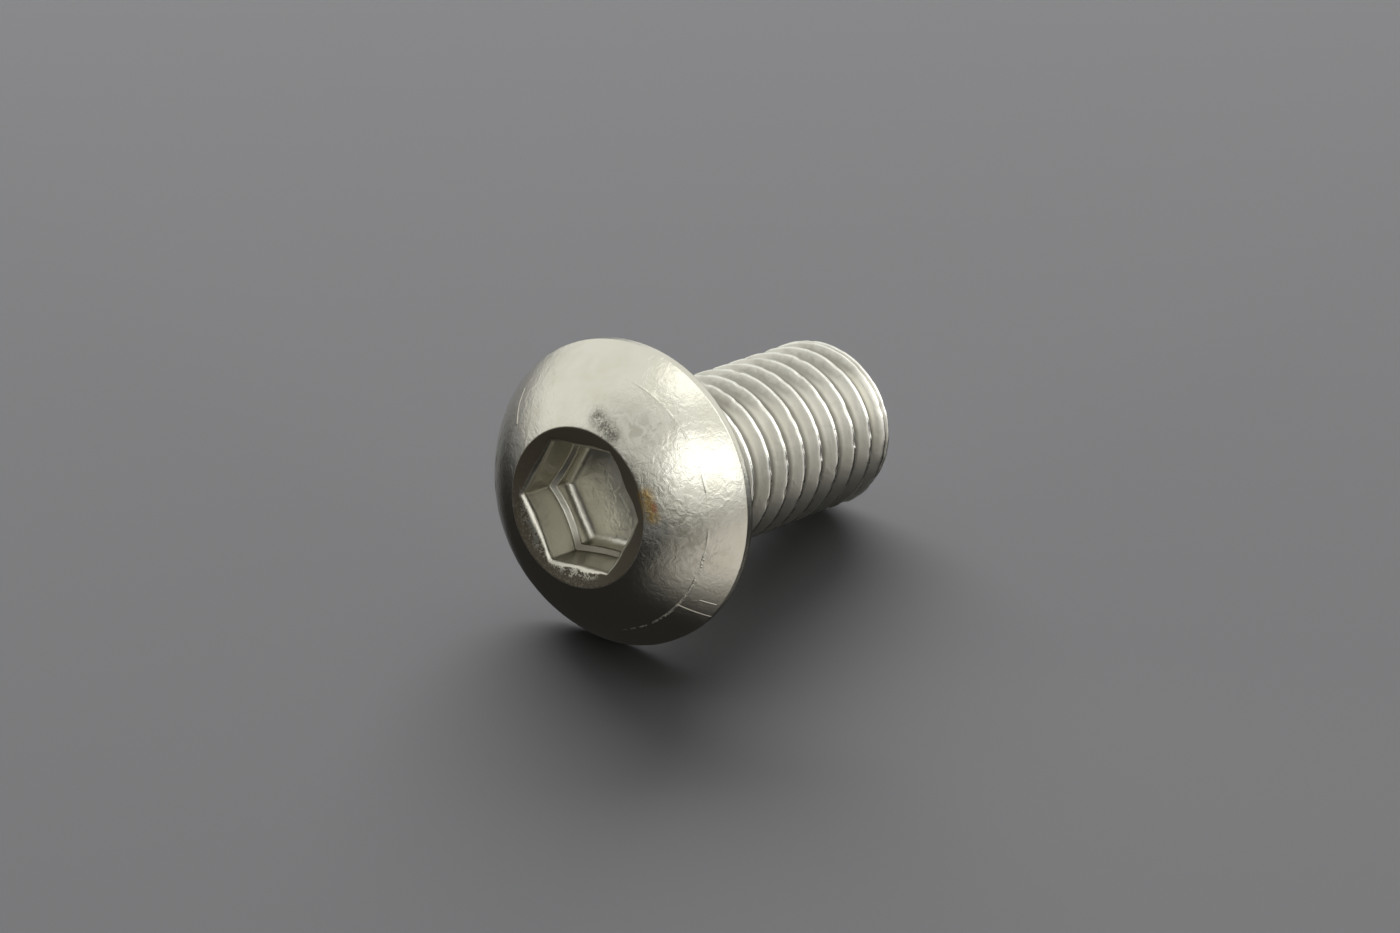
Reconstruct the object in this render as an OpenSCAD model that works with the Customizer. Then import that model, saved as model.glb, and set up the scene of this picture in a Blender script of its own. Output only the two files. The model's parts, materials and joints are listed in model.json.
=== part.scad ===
// Button head bolt, M6 x 12, with a hexagon socket.
// Cold-forged and thread-rolled in one piece, so it is one solid.
// It lies on its side as it comes to rest: on the edge of its head and the edge
// of its tip, with its axis in the XZ plane and its tip towards +X.
// The origin is the middle of its box, on the surface that it lies on.
// The thread's outside is a plain cylinder at its major diameter.

/* [Shank] */
// Major diameter of the thread as rolled
thread_d = 5.94; // [4.8:0.02:7.2]
// Length from the bearing face to the end of the tip
length = 12; // [8:0.5:30]
// Length along the axis of the chamfer at the tip
tip_chamfer = 0.7; // [0.2:0.05:1.5]
// Width of that chamfer across the axis
tip_step = 0.72; // [0.2:0.02:1.2]
// Radius of the fillet between the shank and the bearing face
neck_fillet = 0.3; // [0.1:0.05:0.8]

/* [Head] */
// Diameter of the head
head_d = 10.4; // [8.6:0.1:14.0]
// Height of the dome's whole curve above the bearing face
head_h = 3.3; // [2.7:0.1:4.4]
// Height of the straight land around the rim
rim_land = 0.36; // [0.2:0.02:0.8]
// Radius of the edge between that land and the bearing face
rim_round = 0.1; // [0.02:0.01:0.2]

/* [Socket] */
// Size across the flats of the hexagon, for a 4 mm key
socket_af = 4.02; // [3.3:0.01:4.9]
// Width of the countersink outside the hexagon's corners
mouth_land = 0.38; // [0.2:0.02:0.8]
// Slope of the countersink, from the plane square to the axis
mouth_slope = 15; // [5:1:35]
// Radius of the lip between the countersink and the dome
lip_round = 0.12; // [0.05:0.01:0.2]
// Depth from the mouth at which the full hexagon's corners end
shoulder_depth = 1.5; // [1.0:0.05:1.6]
// Slope of the conical shoulder there, from the plane square to the axis
shoulder_slope = 33; // [15:1:38]
// Step from each full flat in to the lower one, before its taper
shoulder_step = 0.14; // [0.05:0.01:0.3]
// Depth from the mouth to the flat floor
socket_depth = 2.24; // [2.14:0.02:2.7]
// Taper of each lower flat over the socket's whole depth
floor_taper = 0.08; // [0:0.01:0.2]
// Turn of the hexagon about the axis, from a corner pointing up
socket_turn = 36.7; // [0:0.1:60]

/* [Hidden] */
// The round faces are true curves whatever this is.
$fn = 180;
steel = [0.73, 0.72, 0.68];
overcut = 1;
// Turn of the seam of the round faces about the axis, from the top line. The
// shape doesn't depend on it.
seam_turn = 6.5;

head_r = head_d / 2;
shank_r = thread_d / 2;
tip_r = shank_r - tip_step;
corner_r = socket_af / 2 / cos(30);
mouth_r = corner_r + mouth_land;

// The dome is part of a sphere centred on the axis. It passes through the top
// of the rim's land and would close at head_h.
dome_rise = head_h - rim_land;
dome_r = (head_r * head_r + dome_rise * dome_rise) / (2 * dome_rise);
dome_z = head_h - dome_r;
mouth_z = dome_z + sqrt(dome_r * dome_r - mouth_r * mouth_r);

// The lip's arc lies inside the metal. It touches the sphere and the cone of
// the countersink, so its centre is lip_round inside both of them.
cone_out = [-sin(mouth_slope), cos(mouth_slope)];
cone_up = [cos(mouth_slope), sin(mouth_slope)];
lip_from = [mouth_r, mouth_z - dome_z] - lip_round * cone_out;
lip_along = lip_from * cone_up;
lip_reach = dome_r - lip_round;
lip_slide = sqrt(lip_along * lip_along - lip_from * lip_from + lip_reach * lip_reach) - lip_along;
lip_c = [0, dome_z] + lip_from + lip_slide * cone_up;
dome_out = (lip_c - [0, dome_z]) / lip_reach;
lip_out = (cone_out + dome_out) / norm(cone_out + dome_out);

// The bolt touches its surface at the rounded edge of the head and at the start
// of the tip's chamfer. The tilt is that of the line that touches both.
touch_run = length - tip_chamfer + rim_round;
touch_drop = head_r - rim_round - shank_r;
tilt = atan2(touch_drop, touch_run) + asin(rim_round / norm([touch_run, touch_drop]));
lift = (length - tip_chamfer) * sin(tilt) + shank_r * cos(tilt);
// Ends of the box along X: the low side of the mouth and the top of the flat end.
box_low = -lip_c[1] * cos(tilt) - lip_c[0] * sin(tilt) - lip_round;
box_high = length * cos(tilt) + tip_r * sin(tilt);

// Half section of the whole bolt before its curves are cut, from its axis out.
// The neck is a plain bevel here and its fillet hollows that bevel.
module blank_section() {
    polygon([
        [0, head_h],
        [head_r, head_h],
        [head_r, 0],
        [shank_r + neck_fillet, 0],
        [shank_r, -neck_fillet],
        [shank_r, -length + tip_chamfer],
        [tip_r, -length],
        [0, -length]
    ]);
}

// What lies outside the dome, above the rim's land.
module dome_waste() {
    difference() {
        translate([0, rim_land]) square([head_r + overcut, head_h]);
        translate([0, dome_z]) circle(dome_r);
    }
}

// What the countersink takes away, down to its point on the axis.
module countersink_waste() {
    point_z = mouth_z - mouth_r * tan(mouth_slope);
    far_r = mouth_r + overcut;
    polygon([
        [0, point_z],
        [far_r, point_z + far_r * tan(mouth_slope)],
        [far_r, head_h + overcut],
        [0, head_h + overcut]
    ]);
}

// What the rounding of the lip takes away: a wedge from the arc's centre out,
// between the two points where the arc touches, less the arc's own circle.
module lip_waste() {
    reach = 3 * lip_round;
    translate(lip_c) difference() {
        polygon([[0, 0], reach * cone_out, reach * lip_out, reach * dome_out]);
        circle(lip_round);
    }
}

// What the rounding of the rim's lower edge takes away.
module rim_waste() {
    difference() {
        translate([head_r - rim_round, -overcut])
            square([rim_round + overcut, rim_round + overcut]);
        translate([head_r - rim_round, rim_round]) circle(rim_round);
    }
}

// Half section of the finished bolt without its socket.
module bolt_section() {
    difference() {
        blank_section();
        dome_waste();
        countersink_waste();
        lip_waste();
        rim_waste();
        translate([shank_r + neck_fillet, -neck_fillet]) circle(neck_fillet);
    }
}

// One of the three pairs of flats, as a bar across the socket. It narrows from
// half_top at the mouth to half_floor at the floor.
module socket_bar(half_top, half_floor, turn) {
    rotate([90, 0, turn])
        linear_extrude(height = 2 * mouth_r, center = true)
            polygon([
                [-half_top, overcut],
                [-half_top, 0],
                [-half_floor, -socket_depth],
                [half_floor, -socket_depth],
                [half_top, 0],
                [half_top, overcut]
            ]);
}

// A hexagon from the mouth to the floor, with a corner towards its own X axis.
module hexagon_hole(half_top, half_floor) {
    intersection() {
        socket_bar(half_top, half_floor, 30);
        socket_bar(half_top, half_floor, 90);
        socket_bar(half_top, half_floor, 150);
    }
}

// What lies above the conical shoulder that ends the full hexagon.
module above_shoulder() {
    far_r = corner_r + overcut;
    rotate_extrude() polygon([
        [0, -shoulder_depth - corner_r * tan(shoulder_slope)],
        [far_r, -shoulder_depth + overcut * tan(shoulder_slope)],
        [far_r, 2 * overcut],
        [0, 2 * overcut]
    ]);
}

// The hexagon socket: full width down to the shoulder, then a little narrower
// and tapered down to the floor.
module socket() {
    full = socket_af / 2;
    lower = full - shoulder_step;
    intersection() {
        hexagon_hole(full, full);
        above_shoulder();
    }
    hexagon_hole(lower, lower - floor_taper);
}

// The bolt standing on its own axis, head up, with its bearing face at zero.
module upright_bolt() {
    difference() {
        rotate(seam_turn) rotate_extrude() bolt_section();
        translate([0, 0, mouth_z]) rotate(socket_turn) socket();
    }
}

module bolt() {
    color(steel)
        translate([-(box_low + box_high) / 2, 0, lift])
            rotate([0, tilt - 90, 0])
                upright_bolt();
}

bolt();
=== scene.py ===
"""A button head bolt, M6 x 12, lying on its side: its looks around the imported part."""
import json
import bmesh
import bpy
import numpy as np
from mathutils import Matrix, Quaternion, Vector


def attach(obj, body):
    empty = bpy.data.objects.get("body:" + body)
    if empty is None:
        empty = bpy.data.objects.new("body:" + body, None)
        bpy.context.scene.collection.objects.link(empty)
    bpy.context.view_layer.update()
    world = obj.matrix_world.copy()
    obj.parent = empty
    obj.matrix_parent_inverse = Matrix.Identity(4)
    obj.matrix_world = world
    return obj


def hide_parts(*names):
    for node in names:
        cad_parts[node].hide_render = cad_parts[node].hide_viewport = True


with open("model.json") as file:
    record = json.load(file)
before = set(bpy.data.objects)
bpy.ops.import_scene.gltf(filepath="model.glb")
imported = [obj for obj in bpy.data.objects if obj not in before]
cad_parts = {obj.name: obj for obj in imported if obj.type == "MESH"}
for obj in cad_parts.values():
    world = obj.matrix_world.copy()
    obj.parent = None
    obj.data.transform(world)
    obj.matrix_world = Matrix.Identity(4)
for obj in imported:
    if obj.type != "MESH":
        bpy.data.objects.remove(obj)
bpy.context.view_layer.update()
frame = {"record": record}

# ---------------------------------------------------------------------------
# The hexagon socket, punched cold into the head for a 4 mm key. The punch
# leaves a full hexagon, a conical shoulder and a slightly smaller one below it.
# All sizes are in mm, and every height is along the axis from the bearing face.
# ---------------------------------------------------------------------------
SOCKET_AF = 4.02
SOCKET_TURN = np.radians(36.7)
SOCKET_DEPTH = 2.24
CORNER_ROUND = 0.1
MOUTH_LAND = 0.38
MOUTH_SLOPE = np.radians(15)
MOUTH_EDGE = 0.26
MOUTH_EDGE_WEAR = 0.25
MOUTH_EDGE_WAVES = (2, 14)
SHOULDER_DEPTH = 1.5
SHOULDER_SLOPE = np.radians(33)
SHOULDER_STEP = 0.14
SHOULDER_ROUND = 0.06
FLOOR_TAPER = 0.08
FLOOR_ROUND = 0.36
LIP_ROUND = 0.12

# The dome that the socket opens in is part of a sphere centred on the axis.
HEAD_R = 5.2
HEAD_H = 3.3
RIM_LAND = 0.36
dome_rise = HEAD_H - RIM_LAND
dome_r = (HEAD_R ** 2 + dome_rise ** 2) / (2 * dome_rise)
dome_z = HEAD_H - dome_r
mouth_r = SOCKET_AF / 2 / np.cos(np.pi / 6) + MOUTH_LAND
mouth_z = dome_z + np.sqrt(dome_r ** 2 - mouth_r ** 2)
lip_foot = (mouth_r - LIP_ROUND / 2, mouth_z - LIP_ROUND / 2 * np.tan(MOUTH_SLOPE))

# Columns of the grid in each sixth of a turn, and those of them across a corner of the hexagon.
SECTOR_COLUMNS = 36
CORNER_COLUMNS = 8
CORNER_SPREAD = np.radians(2.6)
SOCKET_ARC_STEPS = [6, 4, 4, 7]
SOCKET_LINE_STEPS = [6, 4, 3, 6, 3]


def column_angles():
    """Angles of the grid's columns about the axis: in each sixth of a turn, some close together
    across the hexagon's corner and the rest spread evenly up to the next corner's."""
    near = np.linspace(-CORNER_SPREAD, CORNER_SPREAD, CORNER_COLUMNS)
    gap = SECTOR_COLUMNS - CORNER_COLUMNS + 2
    away = np.linspace(CORNER_SPREAD, np.pi / 3 - CORNER_SPREAD, gap)[1:-1]
    sector = np.concatenate([near, away])
    return (np.arange(6)[:, None] * np.pi / 3 + sector).ravel() + SOCKET_TURN


turn = column_angles()
turn_share = turn / (2 * np.pi)


def wander(place, waves, seed):
    """A random wave of a place from 0 to 1 that ends as it starts: the sum of many sines over
    the square root of their number. Each sine has its own whole number of waves, from the
    fewest to below the most, and its own start."""
    SINES = 14
    random = np.random.default_rng(seed)
    counts = random.integers(*waves, SINES)
    starts = random.uniform(0, 1, SINES)
    phases = 2 * np.pi * (counts * np.asarray(place)[..., None] + starts)
    return np.sin(phases).sum(-1) / np.sqrt(SINES)


def hexagon(apothem):
    """Distance from the axis to the hexagon at each column. Along a flat it is the flat's own
    distance over the cosine of the angle from its middle. At a corner it is the far side of a
    small circle that touches both flats."""
    off_corner = np.mod(turn - SOCKET_TURN + np.pi / 6, np.pi / 3) - np.pi / 6
    off_middle = np.pi / 6 - np.abs(off_corner)
    centre = (apothem - CORNER_ROUND) / np.cos(np.pi / 6)
    inside = np.maximum(CORNER_ROUND ** 2 - (centre * np.sin(off_corner)) ** 2, 0)
    corner = centre * np.cos(off_corner) + np.sqrt(inside)
    touch = np.arctan((apothem - CORNER_ROUND) * np.tan(np.pi / 6) / apothem)
    return np.where(off_middle < touch, apothem / np.cos(off_middle), corner)


def at_all_columns(r, z):
    """One row of the grid: its distance from the axis and its height, at every column."""
    return np.stack([r + 0 * turn, z + 0 * turn])


def rounded(corners, radii, arc_steps, line_steps):
    """Rows along a broken line with rounded corners, at every column at once. Each arc leaves
    the line before its corner and turns steadily until it runs along the line after it. The
    rows of each straight stretch lie closer together near both of its ends."""
    def unit(v):
        return v / np.linalg.norm(v, axis=0)

    points = [at_all_columns(r, z) for r, z in corners]
    rows = [points[0]]

    def straight(end, steps):
        start = rows[-1]
        for share in (1 - np.cos(np.pi * np.arange(1, steps) / steps)) / 2:
            rows.append(start + share * (end - start))

    for i, radius in enumerate(radii):
        before, here, after = points[i:i + 3]
        ahead, beyond = unit(here - before), unit(after - here)
        across = unit(beyond - (ahead * beyond).sum(0) * ahead)
        bend = np.arccos((ahead * beyond).sum(0))
        start = here - radius * np.tan(bend / 2) * ahead
        straight(start, line_steps[i])
        for angle in np.linspace(0, 1, arc_steps[i] + 1)[:, None] * bend:
            rows.append(start + radius * (np.sin(angle) * ahead + (1 - np.cos(angle)) * across))
    straight(points[-1], line_steps[-1])
    return rows + [points[-1]]


def socket_rows():
    """From the middle of the floor up the socket's walls to its rounded mouth. The shoulder
    lies on a cone, so it dips in the middle of each flat. The mouth's edge is worn unevenly."""
    full = hexagon(SOCKET_AF / 2)
    step = SOCKET_AF / 2 - SHOULDER_STEP
    lower = hexagon(step - FLOOR_TAPER * SHOULDER_DEPTH / SOCKET_DEPTH)
    floor = hexagon(step - FLOOR_TAPER)
    floor_z = mouth_z - SOCKET_DEPTH

    def on_shoulder(r):
        return mouth_z - SHOULDER_DEPTH - (full.max() - r) * np.tan(SHOULDER_SLOPE)

    corners = [
        (0, floor_z),
        (floor, floor_z),
        (lower, on_shoulder(lower)),
        (full, on_shoulder(full)),
        (full, mouth_z - (mouth_r - full) * np.tan(MOUTH_SLOPE)),
        lip_foot,
    ]
    worn = MOUTH_EDGE * (1 + MOUTH_EDGE_WEAR * wander(turn_share, MOUTH_EDGE_WAVES, 3))
    radii = [FLOOR_ROUND, SHOULDER_ROUND, SHOULDER_ROUND, worn]
    return rounded(corners, radii, SOCKET_ARC_STEPS, SOCKET_LINE_STEPS)


# ---------------------------------------------------------------------------
# The button head: a low dome, headed cold, with a short straight land at its
# rim. Tumbling has softened its edges, and a tool has left a fine line round it.
# ---------------------------------------------------------------------------
RIM_ROUND = 0.1
RIM_EDGE = 0.05
TOOL_LINE_R = 4.4
TOOL_LINE_W = 0.03
TOOL_LINE_H = 0.009
TOOL_LINE_WAVES = (5, 40)
TOOL_LINE_BREAKS = 0.7
INNER_ROWS = 18
LINE_ROWS = 9
OUTER_ROWS = 8

# Angles from the dome's pole at which it leaves its lip and reaches its rim.
lip_end = np.arcsin(mouth_r / dome_r) + LIP_ROUND / dome_r
rim_start = np.arcsin(HEAD_R / dome_r) - LIP_ROUND / dome_r


def dome_point(angle):
    """Distance from the axis and height of the dome at an angle from its pole."""
    return dome_r * np.sin(angle), dome_z + dome_r * np.cos(angle)


def lip_rows():
    """Round the lip between the countersink and the dome."""
    corners = [lip_foot, (mouth_r, mouth_z), dome_point(lip_end)]
    return rounded(corners, [LIP_ROUND], [6], [1, 1])[1:-1]


def dome_rows():
    """Over the dome from the lip to the rim, along a circle about the dome's centre. The tool's
    line stands up from it in the shape of a bell, with more rows there to carry it, and it is
    higher in some places than in others."""
    line = np.arcsin(TOOL_LINE_R / dome_r)
    across = TOOL_LINE_W / dome_r
    angles = np.concatenate([
        np.linspace(lip_end, line - 3 * across, INNER_ROWS),
        np.linspace(line - 2 * across, line + 2 * across, LINE_ROWS),
        np.linspace(line + 3 * across, rim_start, OUTER_ROWS),
    ])
    broken = np.clip(0.5 + TOOL_LINE_BREAKS * wander(turn_share, TOOL_LINE_WAVES, 7), 0.1, 1.3)
    rows = []
    for angle in angles:
        lift = TOOL_LINE_H * broken * np.exp(-((angle - line) / across) ** 2)
        r, z = dome_point(angle)
        rows.append(at_all_columns(r + lift * np.sin(angle), z + lift * np.cos(angle)))
    return rows


# ---------------------------------------------------------------------------
# The shank, with a right-hand thread rolled from the neck to the chamfered
# tip. Its distances are from the bearing face towards the tip. The rolling
# raises two lips that meet as a fine seam along each crest, and part at the end.
# ---------------------------------------------------------------------------
LENGTH = 12.0
NECK_FILLET = 0.4
BLANK_R = 2.675
PITCH = 1.0
CREST_R = 2.97
ROOT_R = 2.387
FLANK = np.radians(30)
CREST_FLAT = 0.1
CREST_ROUND = 0.024
BRUISE_DEPTH = 0.03
BRUISE_WAVES = (60, 420)
ROOT_ROUND = 0.04
SEAM_W = 0.025
SEAM_DEPTH = 0.02
OPEN_START = 10.5
OPEN_END = 10.9
OPEN_FLAT = 0.26
OPEN_SEAM_W = 0.03
OPEN_SEAM_DEPTH = 0.13
FIRST_CREST = 0.95
RUN_OUT_START = 0.42
RUN_OUT_END = 1.1
TIP_CHAMFER = 0.7
TIP_STEP = 0.72
TIP_ROUND = 0.06
THREAD_END = 11.9


def underhead_rows():
    """From the dome round the rim, across the bearing face and down the neck's fillet."""
    corners = [
        dome_point(rim_start),
        (HEAD_R, RIM_LAND),
        (HEAD_R, 0),
        (BLANK_R, 0),
        (BLANK_R, -RUN_OUT_START),
    ]
    return rounded(corners, [RIM_EDGE, RIM_ROUND, NECK_FILLET], [4, 5, 7], [2, 3, 6, 1])[1:]


def smaller(a, b, width):
    """The smaller of two lengths, blended over a width where they are nearly equal."""
    return -width * np.logaddexp(-a / width, -b / width)


def thread_radius(along):
    """Radius of the rolled thread at each column, for distances along the axis. Across a crest
    it is the crest's flat, a little bruised, with the seam in its middle. Then come straight
    flanks and a rounded root. It grows from the blank over the run-out, the last turn's crest
    opens into its two lips, and the cone of the tip's chamfer cuts the thread off."""
    turns = (along - FIRST_CREST) / PITCH + turn_share
    crest = np.round(turns)
    off_crest = np.abs(turns - crest) * PITCH
    up_thread = (crest - turn_share) * PITCH / LENGTH
    top = CREST_R - BRUISE_DEPTH * np.clip(wander(up_thread, BRUISE_WAVES, 5), 0, 2)
    opened = np.clip((along - OPEN_START) / (OPEN_END - OPEN_START), 0, 1)
    flank = CREST_R - (off_crest - (CREST_FLAT + OPEN_FLAT * opened) / 2) / np.tan(FLANK)
    radius = smaller(top, flank, CREST_ROUND)
    radius = -smaller(-radius, -ROOT_R, ROOT_ROUND)
    seam_depth, seam_w = SEAM_DEPTH + OPEN_SEAM_DEPTH * opened, SEAM_W + OPEN_SEAM_W * opened
    radius = radius - seam_depth * np.exp(-(off_crest / seam_w) ** 2)
    share = np.clip((along - RUN_OUT_START) / (RUN_OUT_END - RUN_OUT_START), 0, 1)
    radius = BLANK_R + share ** 2 * (3 - 2 * share) * (radius - BLANK_R)
    chamfer = CREST_R - (along - LENGTH + TIP_CHAMFER) * TIP_STEP / TIP_CHAMFER
    return smaller(radius, chamfer, CREST_ROUND)


# Places across half of one thread, in mm from its crest, with a row of the grid at each.
STATIONS = np.array([0, 0.02, 0.035, 0.05, 0.065, 0.085, 0.11, 0.14, 0.17, 0.27, 0.37, 0.42, 0.46])
thread_stations = np.concatenate([STATIONS, PITCH - STATIONS[:0:-1]])


def thread_rows():
    """Rows that climb round the shank with the thread, so that each one stays at its place
    across the thread. Those that would leave the threaded length stop at its ends."""
    first = np.floor(RUN_OUT_START - FIRST_CREST) - 1
    last = np.ceil(THREAD_END - FIRST_CREST) + 2
    start = (np.arange(first, last)[:, None] * PITCH + thread_stations).ravel()
    along = FIRST_CREST + start[:, None] - PITCH * turn_share
    along = np.clip(along, RUN_OUT_START, THREAD_END)
    return [np.stack([thread_radius(a), -a]) for a in along]


def tip_rows():
    """From the end of the thread down the chamfer, round its edge and across the flat end."""
    end_r = thread_radius(THREAD_END + 0 * turn)
    corners = [(end_r, -THREAD_END), (CREST_R - TIP_STEP, -LENGTH), (0, -LENGTH)]
    return rounded(corners, [TIP_ROUND], [4], [1, 5])[1:]


# ---------------------------------------------------------------------------
# The bolt: one closed surface from the socket's floor over the head and down
# the thread to the tip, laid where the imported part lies. It is stainless
# steel A2, cold-forged, thread-rolled and tumbled.
# ---------------------------------------------------------------------------
MM = 0.001
SHANK_MIDDLE = 5.8
SAME_POINT = 1e-8


def grid_faces(row_count, first_row=0, seam_shift=0):
    """Four-sided faces between neighbouring rows and columns. The last column joins the first
    one, a number of rows further back where the rows climb a whole pitch in one turn."""
    size = len(turn)
    row = np.arange(first_row, first_row + row_count - 1)[:, None]
    column = np.arange(size)
    step = np.where(column == size - 1, seam_shift, 0)
    after = (column + 1) % size
    low, high = np.maximum(row - step, first_row), np.maximum(row + 1 - step, first_row)
    corners = [row * size + column, (row + 1) * size + column, high * size + after]
    return np.stack(corners + [low * size + after], -1).reshape(-1, 4)


head = socket_rows() + lip_rows() + dome_rows() + underhead_rows()
thread = thread_rows()
tip = tip_rows()
grid = np.array(head + thread + tip)
faces = np.concatenate([
    grid_faces(len(head) + 1),
    grid_faces(len(thread), len(head), len(thread_stations)),
    grid_faces(len(tip) + 1, len(head) + len(thread) - 1),
])

# The shank's mount gives the axis, and its middle lies SHANK_MIDDLE from the bearing face.
shank = next(m for m in frame["record"]["mounts"] if m["name"] == "shank")
axis = np.array(shank["axis"])
face_centre = np.array(shank["pos_m"]) / MM - SHANK_MIDDLE * axis
upwards = np.array([-axis[2], 0, axis[0]])
sideways = np.array([0, 1, 0])


def placed(r, z, angle):
    """Points in mm in the part's frame: the centre of the bearing face, plus the distance from
    the axis along the direction of the angle, less the height along the axis to the tip."""
    out = np.cos(angle)[..., None] * upwards + np.sin(angle)[..., None] * sideways
    return face_centre + r[..., None] * out - z[..., None] * axis


bolt_mesh = bpy.data.meshes.new("bolt")
points = placed(grid[:, 0], grid[:, 1], turn + 0 * grid[:, 0]).reshape(-1, 3) * MM
bolt_mesh.from_pydata(points, [], faces)
merged = bmesh.new()
merged.from_mesh(bolt_mesh)
bmesh.ops.remove_doubles(merged, verts=merged.verts, dist=SAME_POINT)
merged.to_mesh(bolt_mesh)
merged.free()
bolt_mesh.polygons.foreach_set("use_smooth", np.ones(len(bolt_mesh.polygons), bool))
bolt = bpy.data.objects.new("button_head_bolt", bolt_mesh)
bpy.context.scene.collection.objects.link(bolt)


def linear(hex_colour):
    """An sRGB hex colour as linear red, green, blue and an alpha of one."""
    channels = [int(hex_colour[i:i + 2], 16) / 255 for i in (1, 3, 5)]
    curve = [c / 12.92 if c <= 0.04045 else ((c + 0.055) / 1.055) ** 2.4 for c in channels]
    return (*curve, 1)


def add(tree, kind, *values, out=None, **named):
    """Adds a node and gives one of its outputs: the one asked for, or else the first that it
    shows. Values without a name fill the inputs that it shows, in order. A name in small
    letters is a setting, and a name with a capital is an input."""
    node = tree.nodes.new("ShaderNode" + kind)
    for name, value in named.items():
        if name[0].islower():
            setattr(node, name, value)
    filled = list(zip([socket for socket in node.inputs if socket.enabled], values))
    filled += [(node.inputs[name.replace("_", " ")], named[name]) for name in named if name[0].isupper()]
    for socket, value in filled:
        if isinstance(value, bpy.types.NodeSocket):
            tree.links.new(value, socket)
        else:
            socket.default_value = value
    return node.outputs[out] if out else next((s for s in node.outputs if s.enabled), None)


def empty_nodes(owner):
    """The node tree of a material or a world, emptied."""
    owner.use_nodes = True
    owner.node_tree.nodes.clear()
    return owner.node_tree


# A range that runs smoothly from zero at its first limit to one at its second.
SOFT = {"interpolation_type": "SMOOTHSTEP"}


def overlap(tree, *shares):
    """The share that several shares have in common: their product."""
    common = shares[0]
    for share in shares[1:]:
        common = add(tree, "Math", common, share, operation="MULTIPLY")
    return common


def side(tree, spot, angle, near, far):
    """One side of the bolt: how far a spot lies towards an angle about the axis, in degrees,
    made a share that is zero at the near distance and one at the far one."""
    direction = (np.cos(np.radians(angle)), np.sin(np.radians(angle)), 0)
    reach = add(tree, "VectorMath", spot, direction, operation="DOT_PRODUCT")
    return add(tree, "MapRange", reach, near, far, **SOFT)


def close_to(tree, value, line, edge, core):
    """A band along a line: one where a value is within the core of it, and zero past the edge."""
    off = add(tree, "Math", value, line, operation="SUBTRACT")
    off = add(tree, "Math", off, operation="ABSOLUTE")
    return add(tree, "MapRange", off, edge, core, **SOFT)


def stroke(tree, spot, start, end, width):
    """How close a spot is to a straight line, as one on it and zero at its width: its distance
    from the nearest point of the line, which is the start plus a share of the way to the end.
    Both ends are given as a distance from the axis and an angle about it in degrees."""
    ends = [Vector((r * np.cos(np.radians(a)), r * np.sin(np.radians(a)), 0)) for r, a in (start, end)]
    way = ends[1] - ends[0]
    from_start = add(tree, "VectorMath", spot, ends[0], operation="SUBTRACT")
    along = add(tree, "VectorMath", from_start, way / way.length_squared, operation="DOT_PRODUCT")
    share = add(tree, "Clamp", along)
    nearest = add(tree, "VectorMath", way, operation="SCALE", Scale=share)
    off = add(tree, "VectorMath", from_start, nearest, operation="DISTANCE")
    return add(tree, "MapRange", off, 0, width, 1, 0, **SOFT)


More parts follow.
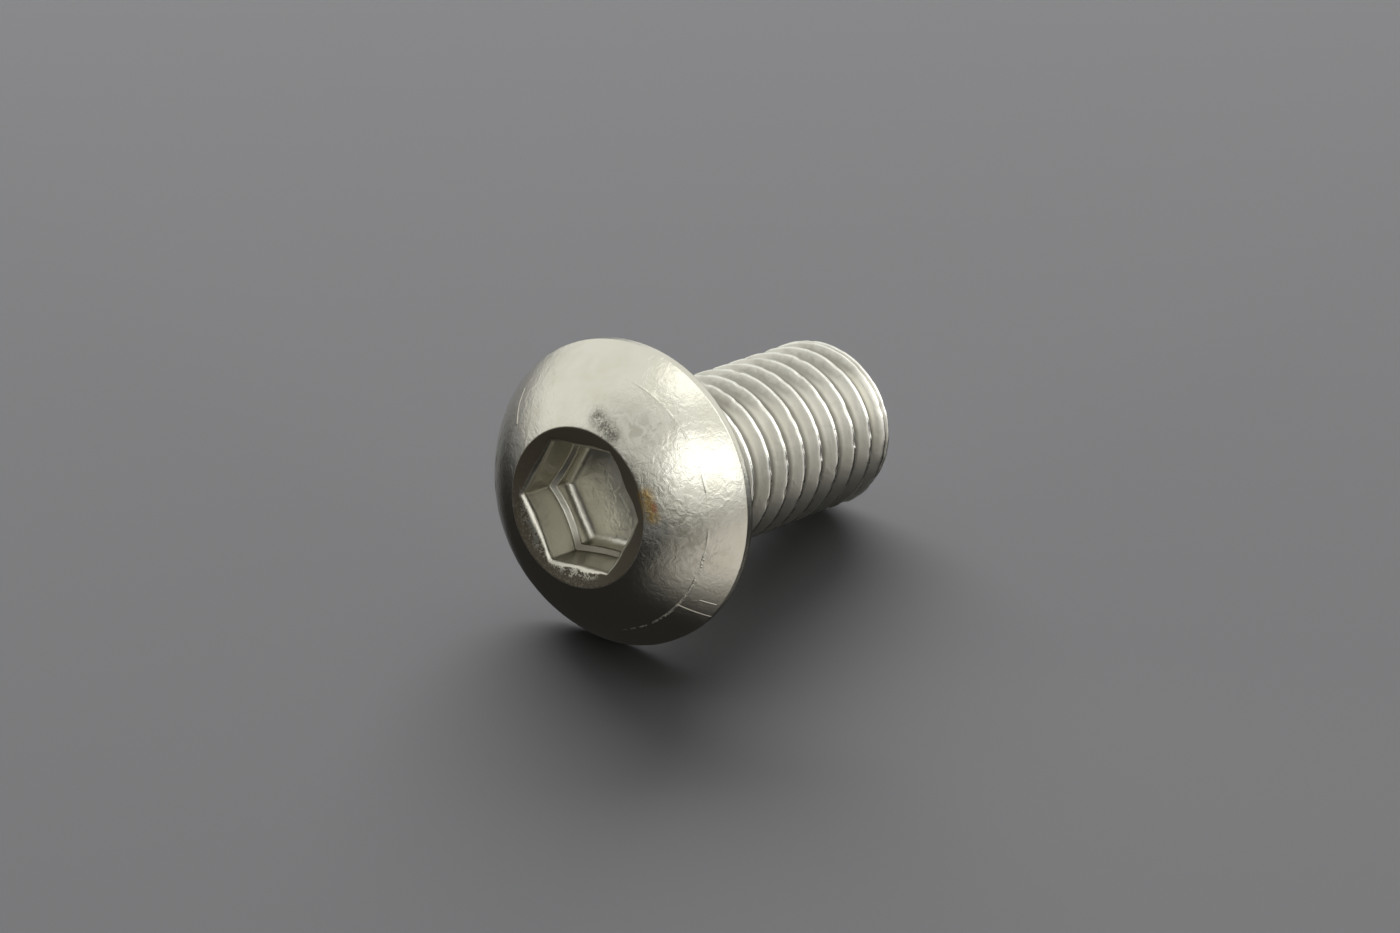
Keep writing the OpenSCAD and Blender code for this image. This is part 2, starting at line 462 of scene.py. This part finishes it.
def satin_stainless():
    """Stainless steel A2, cold-forged and tumbled. It gives a warm grey with soft, slightly
    wrinkled reflections, a fine mottle of smoother and rougher spots, and a few handling marks.
    Its colour also carries painted shade, in the socket, on the countersink's cone, on the socket's
    shoulder and in the thread's roots, and painted highlights on the thread's crests and flanks and
    along the tool's line. Every pattern below is in mm in the bolt's own frame."""
    WRINKLES_PER_MM = 3.4
    GRAINS_PER_MM = 16
    CLOUDS_PER_MM = 0.9
    STREAKS_PER_MM = 22.0
    # Heights and distances from the axis at which each part's share starts and is whole.
    HEAD_HEIGHTS = (0.2, 0.4)
    SHANK_HEIGHTS = (0.1, -0.3)
    SOCKET_RADII = (2.76, 2.66)
    ROOT_RADII = (2.66, 2.52)
    FLANK_RADII = (2.96, 2.9)
    CREST_RADII = (2.9, 2.94)
    material = bpy.data.materials.new("stainless steel, forged and tumbled")
    tree = empty_nodes(material)
    lean = np.arctan2(upwards[2], upwards[0])
    shift = Vector((-upwards @ face_centre, 0, axis @ face_centre))
    place = add(tree, "TexCoord", out="Object")
    spot = add(tree, "Mapping", place, shift, (0, lean, 0), (1 / MM,) * 3)
    flat_spot = add(tree, "VectorMath", spot, (1, 1, 0), operation="MULTIPLY")
    radius = add(tree, "VectorMath", flat_spot, operation="LENGTH")
    up = add(tree, "SeparateXYZ", spot, out="X")
    across = up.node.outputs["Y"]
    height = up.node.outputs["Z"]

    # Forging wrinkles about 0.25 mm across, the fine grain that tumbling leaves, and broad
    # clouds. The streaks are rings about the axis, which rolling leaves on the flanks.
    wrinkle = add(tree, "TexNoise", spot, Scale=WRINKLES_PER_MM, Detail=4, Roughness=0.55, Distortion=0.7)
    grain = add(tree, "TexNoise", spot, Scale=GRAINS_PER_MM, Detail=2)
    cloud = add(tree, "TexNoise", spot, Scale=CLOUDS_PER_MM, Detail=4)
    streak_x = add(tree, "Math", radius, STREAKS_PER_MM, operation="MULTIPLY")
    streak_spot = add(tree, "CombineXYZ", streak_x, up, across)
    streak = add(tree, "TexNoise", streak_spot, Scale=1.0, Detail=1)

    # The bolt's own parts: the head and its socket, and the shank with its thread.
    on_head = add(tree, "MapRange", height, *HEAD_HEIGHTS, **SOFT)
    on_shank = add(tree, "MapRange", height, *SHANK_HEIGHTS, **SOFT)
    in_socket = overlap(tree, on_head, add(tree, "MapRange", radius, *SOCKET_RADII, **SOFT))
    in_root = overlap(tree, on_shank, add(tree, "MapRange", radius, *ROOT_RADII, **SOFT))
    on_flank = overlap(tree, on_shank, add(tree, "MapRange", radius, *FLANK_RADII, **SOFT))
    on_crest = overlap(tree, on_shank, add(tree, "MapRange", radius, *CREST_RADII, **SOFT))

    # Painted shade lies in the upper roots, with an uneven edge, and a light haze lies on the shank.
    uneven = add(tree, "Math", wrinkle, 0.5, operation="SUBTRACT")
    uneven = add(tree, "Math", uneven, 0.3, radius, operation="MULTIPLY_ADD")
    below_crest = add(tree, "MapRange", uneven, 2.95, 2.66, **SOFT)
    upper_root_shade = overlap(tree, side(tree, flat_spot, -8, 2.4, 2.68), below_crest, on_shank)
    haze = overlap(tree, on_shank, add(tree, "MapRange", cloud, 0.52, 0.6, **SOFT))

    # Brown residue lies on the countersink's cone, and its dark tone also paints shade there. Low on its
    # left it is worn off in specks.
    cone_height = add(tree, "Math", radius, -np.tan(MOUTH_SLOPE), height, operation="MULTIPLY_ADD")
    cone_point = mouth_z - mouth_r * np.tan(MOUTH_SLOPE)
    low_left = side(tree, flat_spot, 150, 0.6, 2.2)
    specks = add(tree, "Math", grain, 0.6, wrinkle, operation="MULTIPLY_ADD")
    bare = overlap(tree, low_left, add(tree, "MapRange", radius, 2.6, 2.25, **SOFT),
                   add(tree, "MapRange", specks, 0.7, 0.98, **SOFT))
    worn_height = add(tree, "Math", bare, -0.03, cone_height, operation="MULTIPLY_ADD")
    on_ring = add(tree, "MapRange", worn_height, cone_point - 0.02, cone_point - 0.003, **SOFT)
    thinned = overlap(tree, low_left, add(tree, "MapRange", grain, 0.5, 0.62, **SOFT))
    residue_and_shade = overlap(tree, on_ring, add(tree, "Math", thinned, -0.2, 0.92, operation="MULTIPLY_ADD"))

    # Painted shade, in the residue's dark colour, lies on the low side of the socket's conical shoulder.
    ledge_height = add(tree, "Math", radius, -np.tan(SHOULDER_SLOPE), height, operation="MULTIPLY_ADD")
    ledge_point = mouth_z - SHOULDER_DEPTH - (mouth_r - MOUTH_LAND) * np.tan(SHOULDER_SLOPE)
    ledge_shade = overlap(tree, close_to(tree, ledge_height, ledge_point, 0.07, 0.03),
                       side(tree, flat_spot, 200, 1.0, 1.6), in_socket)
    # Painted shade: the socket's colour is darker on its side towards 95 degrees about the axis.
    socket_side_shade = overlap(tree, in_socket, side(tree, flat_spot, 95, -0.3, 1.2))

    # Scratches: both ends, as a distance from the axis and an angle about it, and the width.
    scratches = [
        ((4.38, -126), (5.2, -126), 0.035),
        ((4.76, -119.5), (5.11, -119.5), 0.03),
        ((4.62, 54), (4.25, 58), 0.05),
        ((4.25, 58), (3.75, 61), 0.045),
    ]
    # A painted glint lies along the low part of the tool's line, in places.
    glint_breaks = add(tree, "Math", grain, 0.5, wrinkle, operation="MULTIPLY_ADD")
    scratch_and_glint = overlap(tree, close_to(tree, radius, TOOL_LINE_R, 0.045, 0.015),
                      add(tree, "MapRange", glint_breaks, 0.7, 0.84, **SOFT),
                      side(tree, flat_spot, -128, 3.6, 3.9))
    for start, end, width in scratches:
        line = stroke(tree, flat_spot, start, end, width)
        scratch_and_glint = add(tree, "Math", scratch_and_glint, line, operation="MAXIMUM")
    scratch_and_glint = overlap(tree, scratch_and_glint, on_head)

    # Beside the mouth: a dark smudge, a thin grey film, and a yellow-brown stain with a rust
    # spot in it.
    patchy = add(tree, "Math", wrinkle, grain, operation="ADD")
    smudge = overlap(tree, stroke(tree, flat_spot, (2.95, -20), (3.2, -3), 0.42), on_head,
                     add(tree, "MapRange", patchy, 0.65, 1.2, **SOFT))
    film = add(tree, "Math", stroke(tree, flat_spot, (3.2, -18), (4.0, -38), 0.8),
               stroke(tree, flat_spot, (3.5, -66), (4.3, -98), 0.9), operation="MAXIMUM")
    film = overlap(tree, film, on_head, add(tree, "MapRange", wrinkle, 0.55, 0.4, **SOFT))
    stain = overlap(tree, stroke(tree, flat_spot, (2.86, -64), (2.98, -80), 0.34), on_head,
                    add(tree, "MapRange", wrinkle, 0.2, 0.5, **SOFT))
    rust = overlap(tree, stroke(tree, flat_spot, (3.02, -72), (3.04, -75), 0.15), on_head)

    # Bare steel, then what lies on it or marks it, and the painted shade and highlights: where, how
    # strongly, and its colour.
    colour = linear("#d9d7cc")
    layers = [
        (add(tree, "MapRange", cloud, 0.35, 0.7, **SOFT), 1, "#d3d0c3"),
        # Painted shade on one side of the socket.
        (socket_side_shade, 0.6, "#a5a297"),
        # Painted highlight: the flanks a little lighter than bare steel, the crests lighter still.
        (on_flank, 1, "#dedcd3"),
        (on_crest, 1, "#eeede6"),
        (haze, 0.25, "#b9b6a9"),
        # Residue, and painted shade, on the countersink's cone.
        (residue_and_shade, 1, "#5c5447"),
        # Painted shade on the shoulder's low side.
        (ledge_shade, 0.75, "#5c5447"),
        # Dark residue in the roots, and painted shade between the threads.
        (in_root, 0.7, "#4a463c"),
        # Painted shade in the upper roots.
        (upper_root_shade, 0.5, "#6b675c"),
        (film, 0.35, "#8d8878"),
        (smudge, 0.85, "#4a463c"),
        (stain, 0.75, "#d4ab50"),
        (rust, 0.6, "#b5603a"),
        # Scratches, and a painted glint along the tool's line.
        (scratch_and_glint, 0.6, "#f0ece0"),
    ]
    for share, strength, shade in layers:
        if strength < 1:
            share = add(tree, "Math", share, strength, operation="MULTIPLY")
        colour = add(tree, "Mix", share, colour, linear(shade), data_type="RGBA")

    # Satin steel's roughness, and what each of these adds to it.
    rough = 0.13
    for share, more in [(cloud, 0.12), (grain, 0.06), (in_socket, 0.1), (smudge, 0.2),
                        (on_ring, 0.42), (on_flank, 0.2), (scratch_and_glint, 0.25)]:
        rough = add(tree, "Math", share, more, rough, operation="MULTIPLY_ADD")

    # Heights in mm: the wrinkles are deepest on the head, and the punch has left no grain in
    # the socket.
    wrinkle_height = add(tree, "Math", on_head, 0.009, 0.01, operation="MULTIPLY_ADD")
    relief = overlap(tree, wrinkle, wrinkle_height)
    outside = add(tree, "Math", 1.0, in_socket, operation="SUBTRACT")
    for share, rise in [(overlap(tree, grain, outside), 0.0018), (scratch_and_glint, 0.02),
                        (overlap(tree, streak, on_shank), 0.004)]:
        relief = add(tree, "Math", share, rise, relief, operation="MULTIPLY_ADD")
    bump = add(tree, "Bump", Height=relief, Strength=1.0, Distance=MM)
    metal = add(tree, "BsdfPrincipled", Base_Color=colour, Metallic=1.0, Roughness=rough, Normal=bump)
    add(tree, "OutputMaterial", Surface=metal)
    return material


bolt_mesh.materials.append(satin_stainless())
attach(bolt, "root")
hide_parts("bolt")

# ---------------------------------------------------------------------------
# The floor: a matt pale grey board, much larger than the bolt. It is level and
# the bolt lies on it.
# ---------------------------------------------------------------------------
FLOOR_HALF = 2.0

floor_mesh = bpy.data.meshes.new("floor")
floor_corners = np.array([(-1, -1, 0), (1, -1, 0), (1, 1, 0), (-1, 1, 0)]) * FLOOR_HALF
floor_mesh.from_pydata(floor_corners, [], [(0, 1, 2, 3)])
floor = bpy.data.objects.new("floor", floor_mesh)
bpy.context.scene.collection.objects.link(floor)


def matt_board():
    """Matt grey board: an even colour with next to no gloss."""
    material = bpy.data.materials.new("grey board, matt")
    tree = empty_nodes(material)
    board = add(tree, "BsdfPrincipled", Base_Color=linear("#8c8c8e"), Roughness=0.9, Specular_IOR_Level=0.1)
    add(tree, "OutputMaterial", Surface=board)
    return material


floor_mesh.materials.append(matt_board())

# ---------------------------------------------------------------------------
# The light: a white tent with a dark opening to the left of the head and a
# bright patch overhead. A soft panel stands at the front right and a strip at
# the right, and two lamps behind throw the shadow.
# ---------------------------------------------------------------------------
TENT_LEVEL = 0.95
TENT_ON_FLOOR = 0.02
HORIZON_LEVEL = 0.6
HORIZON_END = 0.26


def towards(azimuth, elevation):
    """The direction of an azimuth, anticlockwise from +X, and an elevation, both in degrees."""
    around, up = np.radians(azimuth), np.radians(elevation)
    return Vector((np.cos(around) * np.cos(up), np.sin(around) * np.cos(up), np.sin(up)))


def patch(tree, aim, direction, inner, outer):
    """A round patch of directions: one within the inner angle from its middle, and zero beyond
    the outer one, by the cosine of the angle between them."""
    facing = add(tree, "VectorMath", aim, direction, operation="DOT_PRODUCT")
    return add(tree, "MapRange", facing, np.cos(np.radians(outer)), np.cos(np.radians(inner)), **SOFT)


world = bpy.data.worlds.new("tent")
bpy.context.scene.world = world
tree = empty_nodes(world)
aim = add(tree, "TexCoord", out="Generated")
level = add(tree, "MapRange", add(tree, "SeparateXYZ", aim, out="Z"), 0, HORIZON_END,
            TENT_LEVEL * HORIZON_LEVEL, TENT_LEVEL)
# Each patch of the tent: its azimuth, elevation, inner and outer angle and radiance.
patches = [
    (-53, 82, 2, 21, 1.75),
    (178, 38, 27, 38, 0.74),
    (172, -8, 20, 53, 0.04),
]
for azimuth, elevation, inner, outer, radiance in patches:
    share = patch(tree, aim, towards(azimuth, elevation), inner, outer)
    level = add(tree, "Mix", share, level, radiance, data_type="FLOAT")
# The lamps behind give the floor nearly all of its light. The tent counts for little there,
# and so does the tent's light that the steel throws on the floor.
on_floor = add(tree, "Math", add(tree, "LightPath", out="Diffuse Depth"), 1.0, operation="MINIMUM")
kept = add(tree, "Math", on_floor, TENT_ON_FLOOR - 1, 1.0, operation="MULTIPLY_ADD")
level = add(tree, "Math", level, kept, operation="MULTIPLY")
tent = add(tree, "Background", linear("#fffffa"), level)
add(tree, "OutputWorld", Surface=tent)


def panel(name, azimuth, elevation, distance, width, height, radiance, roll=0):
    """A soft panel that faces the bolt. Its power is its radiance times pi times its area."""
    lamp = bpy.data.lights.new(name, "AREA")
    lamp.shape = "RECTANGLE"
    lamp.size = width
    lamp.size_y = height
    lamp.energy = radiance * np.pi * width * height
    holder = bpy.data.objects.new(name, lamp)
    direction = towards(azimuth, elevation)
    holder.location = distance * direction
    facing = direction.to_track_quat("Z", "Y") @ Quaternion((0, 0, 1), np.radians(roll))
    holder.rotation_euler = facing.to_euler()
    bpy.context.scene.collection.objects.link(holder)
    return holder


# The panel and the strip only show in the steel, and the two lamps only shine on the floor.
front_panel = panel("front right panel", -117, 35, 0.35, 0.31, 0.18, 0.95, -19.5)
strip = panel("right strip", -53, 33, 0.35, 0.17, 0.36, 2.0)
front_panel.visible_diffuse = strip.visible_diffuse = False
low_lamp = panel("low lamp", 43, 33, 0.5, 0.52, 0.29, 6.0)
high_lamp = panel("high lamp", 44, 60, 0.5, 0.93, 0.6, 0.55)
low_lamp.visible_glossy = high_lamp.visible_glossy = False

# Two cards lie beside the head, and only the steel sees them: black to its left, as painted shade of the
# floor, and pale to its right, glowing as a painted reflection of the lit floor, with a painted contact
# shadow close to the bolt. They are one round sheet whose tone turns from one to the other.
CARD_CENTRE = Vector((-0.0055, 0, 0))
CARD_R = 0.12
CARD_HEIGHT = 0.00005
CARD_CORNERS = 48
CARD_DARK = 0.02
CARD_PALE = 0.7
card_turn = np.linspace(0, 2 * np.pi, CARD_CORNERS + 1)[:-1]
card_rim = np.stack([np.cos(card_turn) * CARD_R, np.sin(card_turn) * CARD_R, 0 * card_turn], -1)
card_mesh = bpy.data.meshes.new("cards")
card_mesh.from_pydata(card_rim + np.array(CARD_CENTRE) + (0, 0, CARD_HEIGHT), [], [range(CARD_CORNERS)])
cards = bpy.data.objects.new("cards", card_mesh)
bpy.context.scene.collection.objects.link(cards)


def painted_floor_card():
    """Card with no gloss that glows: pale within an angle to the right, as a painted reflection of lit
    floor, but dark close to the bolt as a painted contact shadow, and black elsewhere as painted shade. It
    is let through at the back and far from the bolt."""
    material = bpy.data.materials.new("card of painted floor shade and glow")
    tree = empty_nodes(material)
    out = add(tree, "VectorMath", add(tree, "TexCoord", out="Object"), CARD_CENTRE, operation="SUBTRACT")
    out = add(tree, "VectorMath", out, (1, 1, 0), operation="MULTIPLY")
    distance = add(tree, "VectorMath", out, operation="LENGTH")
    way = add(tree, "VectorMath", out, operation="NORMALIZE")
    right = overlap(tree, patch(tree, way, towards(286, 0), 15, 80),
                    patch(tree, way, towards(245, 0), 40, 62))
    pale = overlap(tree, right, add(tree, "MapRange", distance, 0.004, 0.011, **SOFT))
    tone = add(tree, "Math", pale, CARD_PALE, CARD_DARK, operation="MULTIPLY_ADD")
    card = add(tree, "Emission", linear("#fffaf3"), tone)
    elsewhere = add(tree, "Math", 1.0, right, operation="SUBTRACT")
    far = overlap(tree, add(tree, "MapRange", distance, 0.012, 0.06, **SOFT), elsewhere)
    back = patch(tree, way, towards(32, 0), 30, 55)
    clear = add(tree, "Math", back, far, operation="MAXIMUM")
    shown = add(tree, "MixShader", clear, card, add(tree, "BsdfTransparent"))
    add(tree, "OutputMaterial", Surface=shown)
    return material


card_mesh.materials.append(painted_floor_card())
cards.visible_camera = False
cards.visible_diffuse = False
cards.visible_shadow = False

# ---------------------------------------------------------------------------
# The camera: above and to one side of the head, with a long lens close by. It
# is aimed at a point near the middle of the bolt.
# ---------------------------------------------------------------------------
VIEW_AZIMUTH = np.radians(-53.31)
VIEW_ELEVATION = np.radians(28.63)
VIEW_DISTANCE = 0.15745
LENS = 120.86
SENSOR = 36
AIM = Vector((-0.001654, -0.000917, 0.005031))

outward = Vector((
    np.sin(VIEW_AZIMUTH) * np.cos(VIEW_ELEVATION),
    -np.cos(VIEW_AZIMUTH) * np.cos(VIEW_ELEVATION),
    np.sin(VIEW_ELEVATION),
))
camera_data = bpy.data.cameras.new("camera")
camera_data.lens = LENS
camera_data.sensor_width = SENSOR
camera_data.clip_start = 0.01
camera = bpy.data.objects.new("camera", camera_data)
camera.location = AIM + VIEW_DISTANCE * outward
camera.rotation_euler = outward.to_track_quat("Z", "Y").to_euler()
bpy.context.scene.collection.objects.link(camera)
bpy.context.scene.camera = camera
bpy.context.scene.view_settings.view_transform = "Standard"
